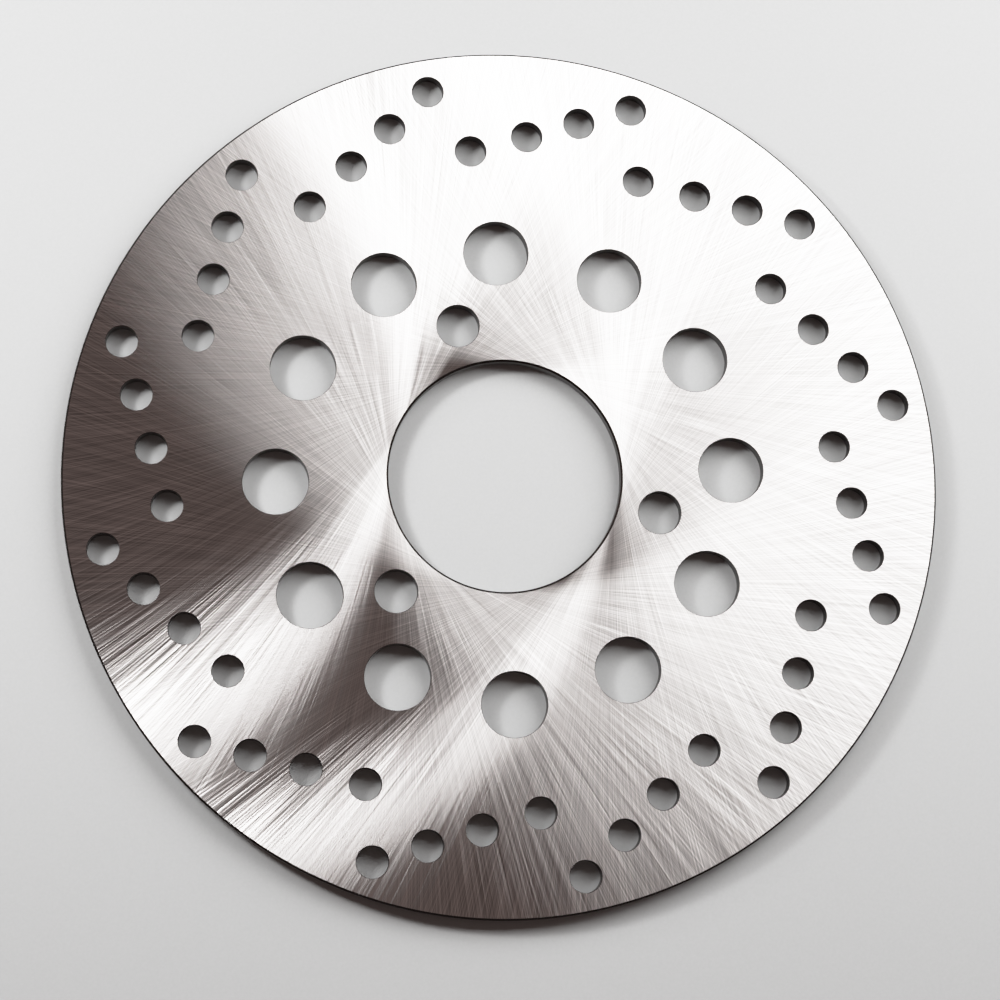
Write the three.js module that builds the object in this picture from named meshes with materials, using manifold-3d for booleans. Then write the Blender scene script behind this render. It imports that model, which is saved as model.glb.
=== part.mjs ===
// A one-piece motorcycle brake disc rotor, in millimetres.
//
// The rotor is a flat ring cut from stainless plate and ground on both faces. It holds a hub bore, three
// mounting holes, a ring of lightening holes, and rows of small drillings that sweep across the brake track.
//
// The origin is the centre of the bore on the hub-side face. +Z is the spin axis and points to the outboard
// face. +Y runs through one of the lightening holes.

import * as THREE from "three";
import { mergeVertices } from "three/addons/utils/BufferGeometryUtils.js";
import Module from "manifold-3d";

// Plate
const OUTER_DIAMETER = 220;
const BORE_DIAMETER = 58.5;
const THICKNESS = 4;
const EDGE_CHAMFER = 0.5; // at 45 degrees, on both edges of the rim and of the bore

// Round holes on circles about the bore
const LIGHTENING = { count: 12, diameter: 16.5, circleDiameter: 114.6, firstAngle: 90 };
const MOUNTING = { count: 3, diameter: 10.8, circleDiameter: 80, firstAngle: 105 };

// Drillings: each row lies on a straight line tangent to a circle about the bore. The line's tangent point
// is turned from a lightening hole, and the row runs outwards and clockwise from it, seen from +Z.
const DRILLING_DIAMETER = 8;
const ROW_COUNT = 12;
const ROW_TANGENT_RADIUS = 83;
const ROW_TANGENT_ANGLE = 13.9;
const ROW_DISTANCES = [15, 30, 44, 58]; // from the tangent point to each drilling's centre

// Roundness: no chord of a circle is further than this from the true arc
const CHORD_ERROR = 0.04;

const SPAN_THROUGH = 3 * THICKNESS; // length of a cutter that passes both faces

const rad = THREE.MathUtils.degToRad;

const groundSteel = new THREE.MeshStandardMaterial({
  name: "ground_steel",
  color: 0xb9b3b0,
  metalness: 1,
  roughness: 0.35,
});

// Segments that keep a circle within CHORD_ERROR, as a multiple of four so that it reaches all four
// quadrant points.
function segmentsFor(radius) {
  const halfStep = Math.acos(1 - CHORD_ERROR / radius);
  return 4 * Math.ceil(Math.PI / halfStep / 4);
}

// The chamfered ring, turned about +Z from its closed section (radius, height).
function ringGeometry() {
  const bore = BORE_DIAMETER / 2;
  const rim = OUTER_DIAMETER / 2;
  const c = EDGE_CHAMFER;
  const t = THICKNESS;
  const section = [
    [bore + c, 0],
    [rim - c, 0],
    [rim, c],
    [rim, t - c],
    [rim - c, t],
    [bore + c, t],
    [bore, t - c],
    [bore, c],
    [bore + c, 0],
  ].map(([radius, height]) => new THREE.Vector2(radius, height));
  return new THREE.LatheGeometry(section, segmentsFor(rim)).rotateX(Math.PI / 2);
}

// A drill's cutter, standing through the plate at (x, y).
function cutterGeometry(diameter, x, y) {
  const radius = diameter / 2;
  return new THREE.CylinderGeometry(radius, radius, SPAN_THROUGH, segmentsFor(radius))
    .rotateX(Math.PI / 2)
    .translate(x, y, THICKNESS / 2);
}

// Cutters for equal holes spaced evenly on a circle.
function circleOfCutters({ count, diameter, circleDiameter, firstAngle }) {
  return Array.from({ length: count }, (_, i) => {
    const angle = rad(firstAngle + (360 * i) / count);
    const radius = circleDiameter / 2;
    return cutterGeometry(diameter, radius * Math.cos(angle), radius * Math.sin(angle));
  });
}

// Cutters for the swept rows of drillings, one row for each lightening hole.
function rowsOfCutters() {
  const cutters = [];
  for (let row = 0; row < ROW_COUNT; row += 1) {
    const angle = rad(LIGHTENING.firstAngle + ROW_TANGENT_ANGLE + (360 * row) / ROW_COUNT);
    const outward = new THREE.Vector2(Math.cos(angle), Math.sin(angle));
    const clockwise = new THREE.Vector2(outward.y, -outward.x);
    for (const distance of ROW_DISTANCES) {
      const centre = outward.clone().multiplyScalar(ROW_TANGENT_RADIUS).addScaledVector(clockwise, distance);
      cutters.push(cutterGeometry(DRILLING_DIAMETER, centre.x, centre.y));
    }
  }
  return cutters;
}

const wasm = await Module();
wasm.setup();

// A closed three.js geometry as a manifold solid.
function solidFrom(geometry) {
  geometry.deleteAttribute("normal");
  geometry.deleteAttribute("uv");
  const merged = mergeVertices(geometry, 1e-4);
  return new wasm.Manifold(
    new wasm.Mesh({
      numProp: 3,
      vertProperties: merged.attributes.position.array,
      triVerts: new Uint32Array(merged.index.array),
    }),
  );
}

// A manifold solid as a three.js geometry.
function geometryFrom(solid) {
  const mesh = solid.getMesh();
  const geometry = new THREE.BufferGeometry();
  geometry.setAttribute("position", new THREE.BufferAttribute(mesh.vertProperties, mesh.numProp));
  geometry.setIndex(new THREE.BufferAttribute(mesh.triVerts, 1));
  geometry.computeVertexNormals();
  return geometry;
}

// The finished disc: the ring with every hole drilled through it.
function rotorDisc() {
  const cutters = [...circleOfCutters(LIGHTENING), ...circleOfCutters(MOUNTING), ...rowsOfCutters()];
  const drilled = cutters.reduce(
    (disc, cutter) => disc.subtract(solidFrom(cutter)),
    solidFrom(ringGeometry()),
  );
  const mesh = new THREE.Mesh(geometryFrom(drilled), groundSteel);
  mesh.name = "rotor_disc";
  return mesh;
}

const brakeRotor = new THREE.Group();
brakeRotor.name = "brake_rotor";
brakeRotor.add(rotorDisc());

export default brakeRotor;
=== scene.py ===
"""Looks of a one-piece motorcycle brake disc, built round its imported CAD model.

The disc is remade as one fine mesh on the CAD model's own circles, with the rim and bore chamfers and a
small edge break on every drilled hole. Both faces are rotary-ground steel: two families of long grinding
arcs cross each other, almost radial at the rim and almost tangential at the bore.
"""

import math

import bpy
from mathutils import Matrix, Vector
from mathutils.geometry import delaunay_2d_cdt


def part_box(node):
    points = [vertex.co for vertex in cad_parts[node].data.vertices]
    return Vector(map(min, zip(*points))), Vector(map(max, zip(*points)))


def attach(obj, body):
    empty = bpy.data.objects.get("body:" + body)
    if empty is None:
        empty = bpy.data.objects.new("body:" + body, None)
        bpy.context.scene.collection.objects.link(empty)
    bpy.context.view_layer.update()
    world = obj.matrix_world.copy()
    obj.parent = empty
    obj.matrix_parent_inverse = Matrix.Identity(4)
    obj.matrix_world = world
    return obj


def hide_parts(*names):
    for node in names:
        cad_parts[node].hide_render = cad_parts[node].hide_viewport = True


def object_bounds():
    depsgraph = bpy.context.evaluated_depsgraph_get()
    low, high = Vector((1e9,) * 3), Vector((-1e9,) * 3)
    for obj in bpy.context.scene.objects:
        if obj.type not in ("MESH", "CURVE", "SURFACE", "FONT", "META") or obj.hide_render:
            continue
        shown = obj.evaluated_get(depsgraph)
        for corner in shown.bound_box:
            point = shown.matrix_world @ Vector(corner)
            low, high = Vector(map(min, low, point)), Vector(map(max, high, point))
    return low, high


NODE = "rotor_disc"
MM = 0.001

# Fine mesh
CIRCLE_STEP = 0.35 * MM  # longest chord on a circle, where the segment limits allow it
MOST_SEGMENTS = 720
FEWEST_SEGMENTS = 64
EDGE_BREAK = 0.10 * MM  # on both ends of every drilled hole
FLAT_TOLERANCE = 1e-6
SHARP_ANGLE = math.radians(15)
KEEP_INSIDE = 1  # the triangulation's choice to keep only what lies inside the outline
WELD_DISTANCE = 1e-9

# Grinding arcs, in millimetres
ARC_RADIUS = 850.0
ARC_NEAREST = 28.0  # how near each arc's circle passes to the disc's centre
ARC_SIDES = (1, -1)  # the two families lean opposite ways
LARGEST_SINE = 0.999  # keeps the arcs' lean defined inside ARC_NEAREST

# Ground steel. The product of the two highlight widths stays just above 0.075 squared, below which the
# streaks would be left out of what guides the denoiser.
STEEL = (0.62, 0.60, 0.59)
ALONG_ROUGHNESS = 0.017  # width of a highlight along its arc
ACROSS_ROUGHNESS = 0.335  # width of a highlight across its arc
WANDER = math.radians(7.5)  # most that a scratch turns from its arc
SCRATCH_TILT = 0.10  # most that a scratch's slope leans the surface
SCRATCH_SHADE = 1.9  # strength of the difference in brightness between scratches

# Streaks along the arcs: cells per radian and length in millimetres, near the bore and near the rim
BORE_STREAKS = 200.0
BORE_STREAK_LENGTH = 15.0
RIM_STREAKS = 380.0
RIM_STREAK_LENGTH = 24.0
BORE_STREAKS_END = 45.0  # radius where the rim's streaks begin to take over
RIM_STREAKS_START = 75.0  # radius where they have taken over
STREAK_PLACE = 86.8  # the middle of where the two families read the noise
STREAK_SHIFT = 7.3  # each family's distance from that middle, so that their streaks differ

# Cut walls and chamfers, with colours far darker than bare steel: painted shade
CUT_WALL_PAINTED_SHADE_COLOR = (0.13, 0.12, 0.115, 1)
CUT_WALL_ROUGHNESS = 0.38
# The chamfers' near-black colour is painted shade.
TURNED_EDGE_PAINTED_SHADE_COLOR = (0.025, 0.018, 0.016, 1)
TURNED_EDGE_ROUGHNESS = 0.5
CUT_LINES_ACROSS = 3.0  # cells of noise per millimetre round a wall
CUT_LINES_DOWN = 0.4  # cells of noise per millimetre down a wall
CUT_SHADE = 0.7  # colour of the darkest cutting line, as a share of the wall's
CUT_ROUGHNESS_SPREAD = 0.2
FINE_DETAIL = 2.0  # octaves of noise in the cutting lines and the floor's grain

# Floor and room
FLOOR_GAP = 0.9 * MM  # clear space under the disc, which lengthens the shadows in its holes
FLOOR_REACH = 3.0  # from the centre to each side
FLOOR_GRAIN = 1.6  # cells of noise per millimetre
FLOOR_DARK = (0.39, 0.395, 0.396, 1)
FLOOR_LIGHT = (0.43, 0.436, 0.437, 1)
FADE_START = 0.20  # from here outwards the camera sees the floor fade into the pale room
FADE_END = 0.34
PALE_ROOM = (0.7, 0.7, 0.7, 1)
ROOM_COLOR = (0.13, 0.098, 0.091, 1)

# Turn of the part about +Z from how it lies in the camera's upright frame, in degrees
PART_TURN = -1.92

# Camera, in the camera's upright frame (x right, y up the picture, z towards the camera), in metres
# from the middle of the disc's upper face, and in degrees
CAMERA_PLACE = Vector((-0.06193, -0.11208, 0.64514))
CAMERA_PITCH = -9.299
CAMERA_YAW = 5.318
LENS = 94.59
SENSOR = 36.0

# Film
SHOULDER = 0.5  # how far below white the highlights start to be held back
BRIGHTEST = 4.0  # radiance at the end of the film's curve
CURVE_POINTS = 24
COMBINED_CURVE = 3  # the curve that acts on all three colours


# ---------------------------------------------------------------------------------------------------------
# Geometry


def boundary_loops(mesh, height):
    """Closed loops of points that bound a mesh's flat face at the given height."""
    keys = [tuple(round(c / FLAT_TOLERANCE) for c in v.co) for v in mesh.vertices]
    points = {key: v.co.copy() for key, v in zip(keys, mesh.vertices)}
    uses = {}
    for polygon in mesh.polygons:
        corners = [keys[i] for i in polygon.vertices]
        if any(abs(points[c].z - height) > FLAT_TOLERANCE for c in corners):
            continue
        for a, b in zip(corners, corners[1:] + corners[:1]):
            uses.setdefault(frozenset((a, b)), []).append((a, b))
    following = {}
    for found in uses.values():
        if len(found) == 1:
            start, end = found[0]
            following[start] = end
    loops = []
    while following:
        start, here = following.popitem()
        loop = [points[start]]
        while here != start:
            loop.append(points[here])
            here = following.pop(here)
        loops.append(loop)
    return loops


def circle_of(loop):
    """Centre and radius of the circle that a loop's corners lie on."""
    centre = sum((Vector(p.xy) for p in loop), Vector((0, 0))) / len(loop)
    radius = sum((Vector(p.xy) - centre).length for p in loop) / len(loop)
    return centre, radius


def segments_for(radius):
    """Segments for a circle, a multiple of four."""
    wanted = 2 * math.pi * radius / CIRCLE_STEP
    return 4 * round(min(MOST_SEGMENTS, max(FEWEST_SEGMENTS, wanted)) / 4)


def ring(centre, radius, height, segments):
    """Points round a circle, anticlockwise."""
    turns = [2 * math.pi * i / segments for i in range(segments)]
    return [
        (centre.x + radius * math.cos(t), centre.y + radius * math.sin(t), height)
        for t in turns
    ]


class DiscMesh:
    """Collects the disc's points and faces, with a material number for each face."""

    GROUND, WALL, CHAMFER = range(3)

    def __init__(self):
        self.points = []
        self.faces = []
        self.kinds = []

    def add_ring(self, points):
        first = len(self.points)
        self.points.extend(points)
        return list(range(first, first + len(points)))

    def add_wall(self, centre, profile, kinds, outward):
        """A wall turned about centre from its profile of (radius, height), top to bottom.

        Returns the wall's top and bottom rings. The faces point away from the centre if outward.
        """
        segments = segments_for(profile[0][0])
        rings = [self.add_ring(ring(centre, r, h, segments)) for r, h in profile]
        for upper, lower, kind in zip(rings, rings[1:], kinds):
            for i in range(segments):
                j = (i + 1) % segments
                face = [upper[i], lower[i], lower[j], upper[j]]
                self.faces.append(face if outward else face[::-1])
                self.kinds.append(kind)
        return rings[0], rings[-1]

    def add_face(self, outer, holes, up):
        """A flat face inside the outer ring and outside the hole rings."""
        rings = [outer] + holes
        index = [i for found in rings for i in found]
        place = {i: flat for flat, i in enumerate(index)}
        edges = [
            (place[a], place[b])
            for found in rings
            for a, b in zip(found, found[1:] + found[:1])
        ]
        outline = [[place[i] for i in outer]]
        flat_points = [Vector(self.points[i][:2]) for i in index]
        triangles = delaunay_2d_cdt(flat_points, edges, outline, KEEP_INSIDE, WELD_DISTANCE)[2]
        inside_hole = self._hole_test(holes)
        for a, b, c in triangles:
            middle = (flat_points[a] + flat_points[b] + flat_points[c]) / 3
            if inside_hole(middle):
                continue
            face = [index[a], index[b], index[c]]
            self.faces.append(face if up else face[::-1])
            self.kinds.append(self.GROUND)

    def _hole_test(self, holes):
        """A function that says whether a flat point lies inside one of the hole rings."""
        circles = [circle_of([Vector(self.points[i]) for i in found]) for found in holes]

        def inside(point):
            return any((point - centre).length < radius for centre, radius in circles)

        return inside

    def to_object(self, name, materials):
        mesh = bpy.data.meshes.new(name)
        mesh.from_pydata(self.points, [], self.faces)
        for material in materials:
            mesh.materials.append(material)
        mesh.polygons.foreach_set("material_index", self.kinds)
        mesh.polygons.foreach_set("use_smooth", [True] * len(self.faces))
        mesh.set_sharp_from_angle(angle=SHARP_ANGLE)
        mesh.validate()
        disc = bpy.data.objects.new(name, mesh)
        bpy.context.scene.collection.objects.link(disc)
        return disc


def build_disc(node, materials):
    """The fine disc, on the circles of the CAD node."""
    low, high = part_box(NODE)
    top, bottom = high.z, low.z
    rim_radius = (high.x - low.x) / 2
    circles = [circle_of(loop) for loop in boundary_loops(node.data, top)]
    circles.sort(key=lambda circle: -circle[1])
    rim, bore, holes = circles[0], circles[1], circles[2:]
    chamfer = rim_radius - rim[1]
    disc = DiscMesh()
    wall, cut = DiscMesh.WALL, DiscMesh.CHAMFER

    def chamfered(radius, side):
        """Profile of a chamfered wall, with the steel inside its radius (side 1) or outside it (-1)."""
        edge = radius - side * chamfer
        heights = (top, top - chamfer, bottom + chamfer, bottom)
        return list(zip((edge, radius, radius, edge), heights))

    def broken(radius):
        """Profile of a drilled wall with a rounded edge break at each end."""
        half = EDGE_BREAK * (1 - math.sqrt(0.5))
        steps = [(EDGE_BREAK, 0), (half, half), (0, EDGE_BREAK)]
        upper = [(radius + r, top - h) for r, h in steps]
        lower = [(radius + r, bottom + h) for r, h in reversed(steps)]
        return upper + lower

    rim_rings = disc.add_wall(rim[0], chamfered(rim_radius, 1), (cut, wall, cut), True)
    bore_rings = disc.add_wall(bore[0], chamfered(bore[1] - chamfer, -1), (cut, wall, cut), False)
    hole_rings = [
        disc.add_wall(centre, broken(radius), (cut, cut, wall, cut, cut), False)
        for centre, radius in holes
    ]
    for side, up in ((0, True), (1, False)):
        inner = [bore_rings[side]] + [rings[side] for rings in hole_rings]
        disc.add_face(rim_rings[side], inner, up)
    return disc.to_object("ground_disc", materials)


# ---------------------------------------------------------------------------------------------------------
# Materials


class Nodes:
    """Short calls for building a material's node tree."""

    # Numbers of the Mix node's colour sockets
    MIX_A, MIX_B, MIX_RESULT = 6, 7, 2

    def __init__(self, name):
        self.material = bpy.data.materials.new(name)
        self.material.use_nodes = True
        self.tree = self.material.node_tree
        self.tree.nodes.clear()

    def add(self, kind, **settings):
        node = self.tree.nodes.new(kind)
        for key, value in settings.items():
            setattr(node, key, value)
        return node

    def put(self, socket, value):
        """Links a value that is a socket, and sets any other."""
        if isinstance(value, bpy.types.NodeSocket):
            self.tree.links.new(value, socket)
        else:
            socket.default_value = value

    def math(self, operation, *values):
        node = self.add("ShaderNodeMath", operation=operation)
        for socket, value in zip(node.inputs, values):
            self.put(socket, value)
        return node.outputs[0]

    def vector(self, x, y, z):
        node = self.add("ShaderNodeCombineXYZ")
        for socket, value in zip(node.inputs, (x, y, z)):
            self.put(socket, value)
        return node.outputs[0]

    def vector_math(self, operation, a, b=None, scale=None):
        node = self.add("ShaderNodeVectorMath", operation=operation)
        self.put(node.inputs[0], a)
        if b is not None:
            self.put(node.inputs[1], b)
        if scale is not None:
            self.put(node.inputs["Scale"], scale)
        return node.outputs["Value" if operation == "LENGTH" else "Vector"]

    def split(self, vector):
        node = self.add("ShaderNodeSeparateXYZ")
        self.put(node.inputs[0], vector)
        return node.outputs

    def place_in_mm(self):
        """The shaded point in the part's own frame, in millimetres."""
        place = self.add("ShaderNodeTexCoord").outputs["Object"]
        return self.vector_math("SCALE", place, scale=1 / MM)

    def noise(self, vector, scale, detail, roughness=0.5):
        """A noise node: its outputs are one noise, Fac, and three separate ones, Color."""
        node = self.add("ShaderNodeTexNoise")
        self.put(node.inputs["Vector"], vector)
        self.put(node.inputs["Scale"], scale)
        self.put(node.inputs["Detail"], detail)
        self.put(node.inputs["Roughness"], roughness)
        return node.outputs

    def remap(self, value, low, high, to_low=0.0, to_high=1.0):
        node = self.add("ShaderNodeMapRange")
        for key, number in (
            ("Value", value),
            ("From Min", low),
            ("From Max", high),
            ("To Min", to_low),
            ("To Max", to_high),
        ):
            self.put(node.inputs[key], number)
        return node.outputs[0]

    def mix_color(self, share, a, b):
        node = self.add("ShaderNodeMix", data_type="RGBA")
        self.put(node.inputs["Factor"], share)
        self.put(node.inputs[self.MIX_A], a)
        self.put(node.inputs[self.MIX_B], b)
        return node.outputs[self.MIX_RESULT]

    def mix_shader(self, share, a, b):
        node = self.add("ShaderNodeMixShader")
        self.put(node.inputs[0], share)
        self.put(node.inputs[1], a)
        self.put(node.inputs[2], b)
        return node.outputs[0]

    def output(self, shader):
        node = self.add("ShaderNodeOutputMaterial")
        self.put(node.inputs["Surface"], shader)
        return self.material


class GrindingArcs:
    """One family of grinding arcs, as node sockets at the shaded point.

    Each arc is a circle that passes the disc's centre at ARC_NEAREST. side is +1 or -1 for a family that
    leans one way or the other from the disc's radius. All lengths are in millimetres.
    """

    def __init__(self, nodes, polar, side):
        self.nodes = nodes
        self.side = side
        self.radius, self.angle, self.radial, self.around = polar
        centre = ARC_RADIUS + ARC_NEAREST
        power = centre**2 - ARC_RADIUS**2  # of the disc's centre with respect to the arc's circle
        squared = nodes.math("MULTIPLY", self.radius, self.radius)
        sine = nodes.math(
            "DIVIDE",
            nodes.math("SUBTRACT", power, squared),
            nodes.math("MULTIPLY", self.radius, 2 * ARC_RADIUS),
        )
        self.lean = nodes.math("ARCSINE", nodes.math("MINIMUM", sine, LARGEST_SINE))
        cosine = nodes.math(
            "DIVIDE",
            nodes.math("ADD", squared, power),
            nodes.math("MULTIPLY", self.radius, 2 * centre),
        )
        swept = nodes.math("ARCCOSINE", nodes.math("MINIMUM", cosine, 1.0))
        self.start = nodes.math("MULTIPLY_ADD", swept, float(side), self.angle)

    def tangent(self, wander):
        """Direction of the arc, turned by wander radians."""
        n = self.nodes
        lean = n.math("MULTIPLY_ADD", self.lean, -float(self.side), wander)
        along = n.vector_math("SCALE", self.radial, scale=n.math("COSINE", lean))
        across = n.vector_math("SCALE", self.around, scale=n.math("SINE", lean))
        return n.vector_math("ADD", along, across)

    def streaks(self):
        """Two separate noises drawn out along the arcs, with more cells to a radian towards the rim."""
        n = self.nodes
        near_bore = self.layer(BORE_STREAKS, BORE_STREAK_LENGTH)
        near_rim = self.layer(RIM_STREAKS, RIM_STREAK_LENGTH)
        share = n.remap(self.radius, BORE_STREAKS_END, RIM_STREAKS_START)
        return n.split(n.mix_color(share, near_bore, near_rim))[:2]

    def layer(self, fineness, length):
        """Noise with that many cells per radian and streaks of that length."""
        n = self.nodes
        x = n.math("MULTIPLY", n.math("COSINE", self.start), fineness)
        y = n.math("MULTIPLY", n.math("SINE", self.start), fineness)
        z = n.math("MULTIPLY_ADD", self.radius, 1.0 / length, STREAK_SHIFT * self.side + STREAK_PLACE)
        return n.noise(n.vector(x, y, z), 1.0, 0.0, 1.0)["Color"]


def centred(n, noise, reach):
    """A noise moved from 0..1 to -reach..reach."""
    return n.math("MULTIPLY", n.math("SUBTRACT", noise, 0.5), 2 * reach)


def arc_lobe(n, normal, arcs):
    """An anisotropic lobe drawn out across one family of arcs, with every scratch a little different."""
    turned, sloped = arcs.streaks()
    tangent = arcs.tangent(centred(n, turned, WANDER))
    across = n.vector_math("CROSS_PRODUCT", normal, tangent)
    slope = n.vector_math("SCALE", across, scale=centred(n, sloped, SCRATCH_TILT))
    tilted = n.vector_math("NORMALIZE", n.vector_math("ADD", normal, slope))
    share = n.math("EXPONENT", centred(n, turned, SCRATCH_SHADE / 2))
    # The anisotropic node turns these two numbers into the widths along and across the tangent.
    mean = math.sqrt(ALONG_ROUGHNESS * ACROSS_ROUGHNESS)
    lobe = n.add("ShaderNodeBsdfAnisotropic", distribution="GGX")
    n.put(lobe.inputs["Color"], n.vector_math("SCALE", n.vector(*STEEL), scale=share))
    n.put(lobe.inputs["Roughness"], math.sqrt(mean))
    n.put(lobe.inputs["Anisotropy"], 1 - ALONG_ROUGHNESS / mean)
    n.put(lobe.inputs["Normal"], tilted)
    n.put(lobe.inputs["Tangent"], tangent)
    return lobe.outputs[0]


def ground_steel():
    """Rotary-ground steel: crossing families of grinding arcs, in equal shares."""
    n = Nodes("ground_steel")
    x, y, _ = n.split(n.place_in_mm())
    flat = n.vector(x, y, 0.0)
    radius = n.vector_math("LENGTH", flat)
    angle = n.math("ARCTAN2", y, x)
    radial = n.vector_math("NORMALIZE", flat)
    rx, ry, _ = n.split(radial)
    around = n.vector(n.math("MULTIPLY", ry, -1.0), rx, 0.0)
    polar = (radius, angle, radial, around)
    normal = n.add("ShaderNodeNewGeometry").outputs["Normal"]
    lobes = [arc_lobe(n, normal, GrindingArcs(n, polar, side)) for side in ARC_SIDES]
    return n.output(n.mix_shader(1 / len(ARC_SIDES), *lobes))


def cut_steel(name, color, roughness):
    """The plain cut walls and chamfers, with the given colour darkened as painted shade."""
    n = Nodes(name)
    x, y, z = n.split(n.place_in_mm())
    stretched = n.vector(
        n.math("MULTIPLY", x, CUT_LINES_ACROSS),
        n.math("MULTIPLY", y, CUT_LINES_ACROSS),
        n.math("MULTIPLY", z, CUT_LINES_DOWN),
    )
    lines = n.noise(stretched, 1.0, FINE_DETAIL)["Fac"]
    darkest = tuple(CUT_SHADE * c for c in color[:3]) + (1.0,)
    smoothest = roughness * (1 - CUT_ROUGHNESS_SPREAD)
    roughest = roughness * (1 + CUT_ROUGHNESS_SPREAD)
    shader = n.add("ShaderNodeBsdfPrincipled")
    n.put(shader.inputs["Base Color"], n.mix_color(lines, darkest, color))
    n.put(shader.inputs["Metallic"], 1.0)
    n.put(shader.inputs["Roughness"], n.remap(lines, 0.0, 1.0, smoothest, roughest))
    return n.output(shader.outputs[0])


def pale_floor():
    """A matt pale surface, which the camera alone sees fade into the pale room."""
    n = Nodes("pale_floor")
    place = n.add("ShaderNodeTexCoord").outputs["Object"]
    grain = n.noise(n.place_in_mm(), FLOOR_GRAIN, FINE_DETAIL)["Fac"]
    shader = n.add("ShaderNodeBsdfDiffuse")
    n.put(shader.inputs["Color"], n.mix_color(grain, FLOOR_DARK, FLOOR_LIGHT))
    room = n.add("ShaderNodeEmission")
    n.put(room.inputs["Color"], PALE_ROOM)
    seen = n.add("ShaderNodeLightPath").outputs["Is Camera Ray"]
    away = n.remap(n.vector_math("LENGTH", place), FADE_START, FADE_END)
    faded = n.math("MULTIPLY", seen, away)
    return n.output(n.mix_shader(faded, shader.outputs[0], room.outputs[0]))


# ---------------------------------------------------------------------------------------------------------
# Stage, lights and camera


def floor(height):
    """A plain pale floor at the given height."""
    mesh = bpy.data.meshes.new("floor")
    signs = ((-1, -1), (1, -1), (1, 1), (-1, 1))
    corners = [(FLOOR_REACH * x, FLOOR_REACH * y, height) for x, y in signs]
    mesh.from_pydata(corners, [], [(0, 1, 2, 3)])
    mesh.materials.append(pale_floor())
    plane = bpy.data.objects.new("floor", mesh)
    bpy.context.scene.collection.objects.link(plane)


def soft_box(name, azimuth, tilt, distance, width, height, turn, radiance):
    """A rectangular light that faces the disc's centre.

    azimuth is in the camera's upright frame, tilt is from straight above, and turn is about the light's own
    axis, all in degrees. Lengths are in metres.
    """
    a = math.radians(azimuth + PART_TURN)
    t = math.radians(tilt)
    away = Vector((math.sin(t) * math.cos(a), math.sin(t) * math.sin(a), math.cos(t)))
    side = Vector((-math.sin(a), math.cos(a), 0))
    rise = away.cross(side)
    light = bpy.data.lights.new(name, "AREA")
    light.shape = "RECTANGLE"
    light.size = width
    light.size_y = height
    light.energy = radiance * math.pi * width * height
    box = bpy.data.objects.new(name, light)
    box.matrix_world = (
        Matrix.Translation(away * distance)
        @ Matrix((side, rise, away)).transposed().to_4x4()
        @ Matrix.Rotation(math.radians(turn), 4, "Z")
    )
    box.visible_camera = False
    bpy.context.scene.collection.objects.link(box)


def lights():
    """A broad key light, a long thin strip and a small bright box."""
    soft_box(
        "key_box",
        azimuth=36.5, tilt=49.0, distance=0.53,
        width=0.35, height=0.61, turn=-40, radiance=8.0,
    )
    soft_box(
        "strip_box",
        azimuth=139.9, tilt=52.0, distance=0.78,
        width=0.04, height=0.50, turn=-15, radiance=60.0,
    )
    soft_box(
        "side_box",
        azimuth=155.5, tilt=50.0, distance=0.45,
        width=0.07, height=0.07, turn=0, radiance=86.0,
    )


def surroundings():
    """A dim warm room for reflections and a pale one where the camera sees past the floor."""
    world = bpy.data.worlds.new("room")
    world.use_nodes = True
    tree = world.node_tree
    tree.nodes.clear()
    path = tree.nodes.new("ShaderNodeLightPath")
    dim = tree.nodes.new("ShaderNodeBackground")
    dim.inputs["Color"].default_value = ROOM_COLOR
    pale = tree.nodes.new("ShaderNodeBackground")
    pale.inputs["Color"].default_value = PALE_ROOM
    mix = tree.nodes.new("ShaderNodeMixShader")
    out = tree.nodes.new("ShaderNodeOutputWorld")
    tree.links.new(path.outputs["Is Camera Ray"], mix.inputs[0])
    tree.links.new(dim.outputs[0], mix.inputs[1])
    tree.links.new(pale.outputs[0], mix.inputs[2])
    tree.links.new(mix.outputs[0], out.inputs["Surface"])
    bpy.context.scene.world = world


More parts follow.
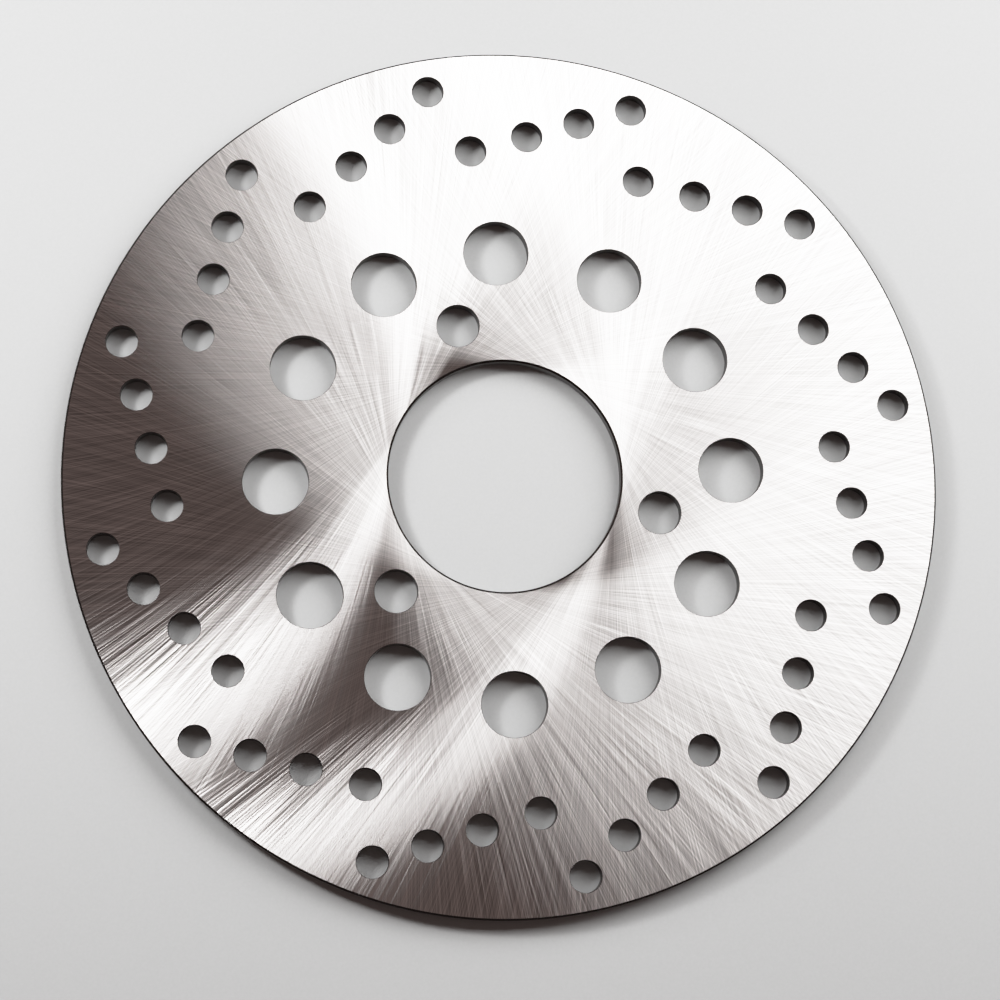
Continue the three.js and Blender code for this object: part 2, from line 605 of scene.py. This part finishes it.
def camera(top):
    """The camera, placed from the disc's upper face."""
    turn = Matrix.Rotation(math.radians(PART_TURN), 4, "Z")
    spin = Vector((math.radians(CAMERA_PITCH), math.radians(CAMERA_YAW), 0))
    facing = Matrix.Rotation(spin.length, 4, spin.normalized()).transposed()
    data = bpy.data.cameras.new("camera")
    data.lens = LENS
    data.sensor_width = SENSOR
    eye = bpy.data.objects.new("camera", data)
    eye.matrix_world = turn @ Matrix.Translation(CAMERA_PLACE + Vector((0, 0, top))) @ facing
    bpy.context.scene.collection.objects.link(eye)
    bpy.context.scene.camera = eye


def film_response(settings):
    """A response that is linear in the darks and mid-tones and eases gently into white."""
    settings.view_transform = "Standard"
    settings.use_curve_mapping = True
    mapping = settings.curve_mapping
    mapping.white_level = (BRIGHTEST,) * 3
    curve = mapping.curves[COMBINED_CURVE]
    knee = 1 - SHOULDER

    def response(radiance):
        if radiance <= knee:
            return radiance
        return 1 - SHOULDER * math.exp((knee - radiance) / SHOULDER)

    curve.points[0].location = (0.0, 0.0)
    curve.points[-1].location = (1.0, response(BRIGHTEST))
    for i in range(1, CURVE_POINTS):
        radiance = BRIGHTEST * (i / CURVE_POINTS) ** 2
        curve.points.new(radiance / BRIGHTEST, response(radiance))
    mapping.update()


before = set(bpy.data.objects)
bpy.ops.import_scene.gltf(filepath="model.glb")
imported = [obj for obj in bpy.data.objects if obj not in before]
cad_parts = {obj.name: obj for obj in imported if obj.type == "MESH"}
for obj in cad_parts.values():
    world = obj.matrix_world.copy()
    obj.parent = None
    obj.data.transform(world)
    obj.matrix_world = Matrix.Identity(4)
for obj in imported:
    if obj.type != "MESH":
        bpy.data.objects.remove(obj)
cad_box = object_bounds()
# The cut walls' and chamfers' dark colours are painted shade.
materials = [
    ground_steel(),
    cut_steel("cut_wall_painted_shade", CUT_WALL_PAINTED_SHADE_COLOR, CUT_WALL_ROUGHNESS),
    cut_steel("turned_edge_painted_shade", TURNED_EDGE_PAINTED_SHADE_COLOR, TURNED_EDGE_ROUGHNESS),
]
disc = build_disc(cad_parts[NODE], materials)
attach(disc, "root")
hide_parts(NODE)
floor(cad_box[0].z - FLOOR_GAP)
lights()
# Lights are picked without a tree, which leaves less grain in the bright fans before denoising.
bpy.context.scene.cycles.use_light_tree = False
surroundings()
camera(cad_box[1].z)
film_response(bpy.context.scene.view_settings)
